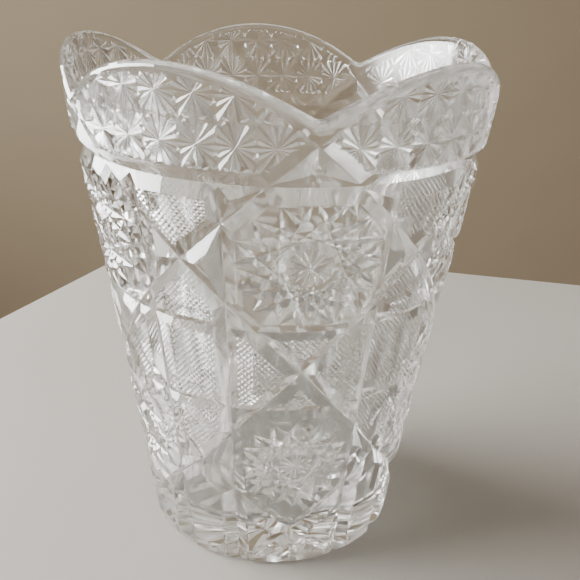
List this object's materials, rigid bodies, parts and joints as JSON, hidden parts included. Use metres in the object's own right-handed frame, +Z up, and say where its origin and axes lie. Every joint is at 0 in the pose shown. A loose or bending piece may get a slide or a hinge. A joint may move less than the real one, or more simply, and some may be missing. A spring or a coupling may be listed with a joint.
{
  "type": "cut crystal vase",
  "caption": "Tapered clear crystal vase with a scalloped, lobed rim, wheel-cut mitres on the wall and a notched solid foot; open at the top to hold flowers.",
  "frame": {"origin": "centre of the flat underside, on the surface that the vase stands on", "axes": "+Z up along the vase's axis; -Y is the front, through one dip of the rim"},
  "size_m": [0.167, 0.1662, 0.205],
  "materials": {
    "crystal": "clear lead crystal, wheel-cut and polished"
  },
  "bodies": {
    "root": {"foot": "crystal", "lower_wall": "crystal", "middle_band": "crystal", "upper_wall": "crystal", "rim": "crystal"}
  },
  "joints": []
}
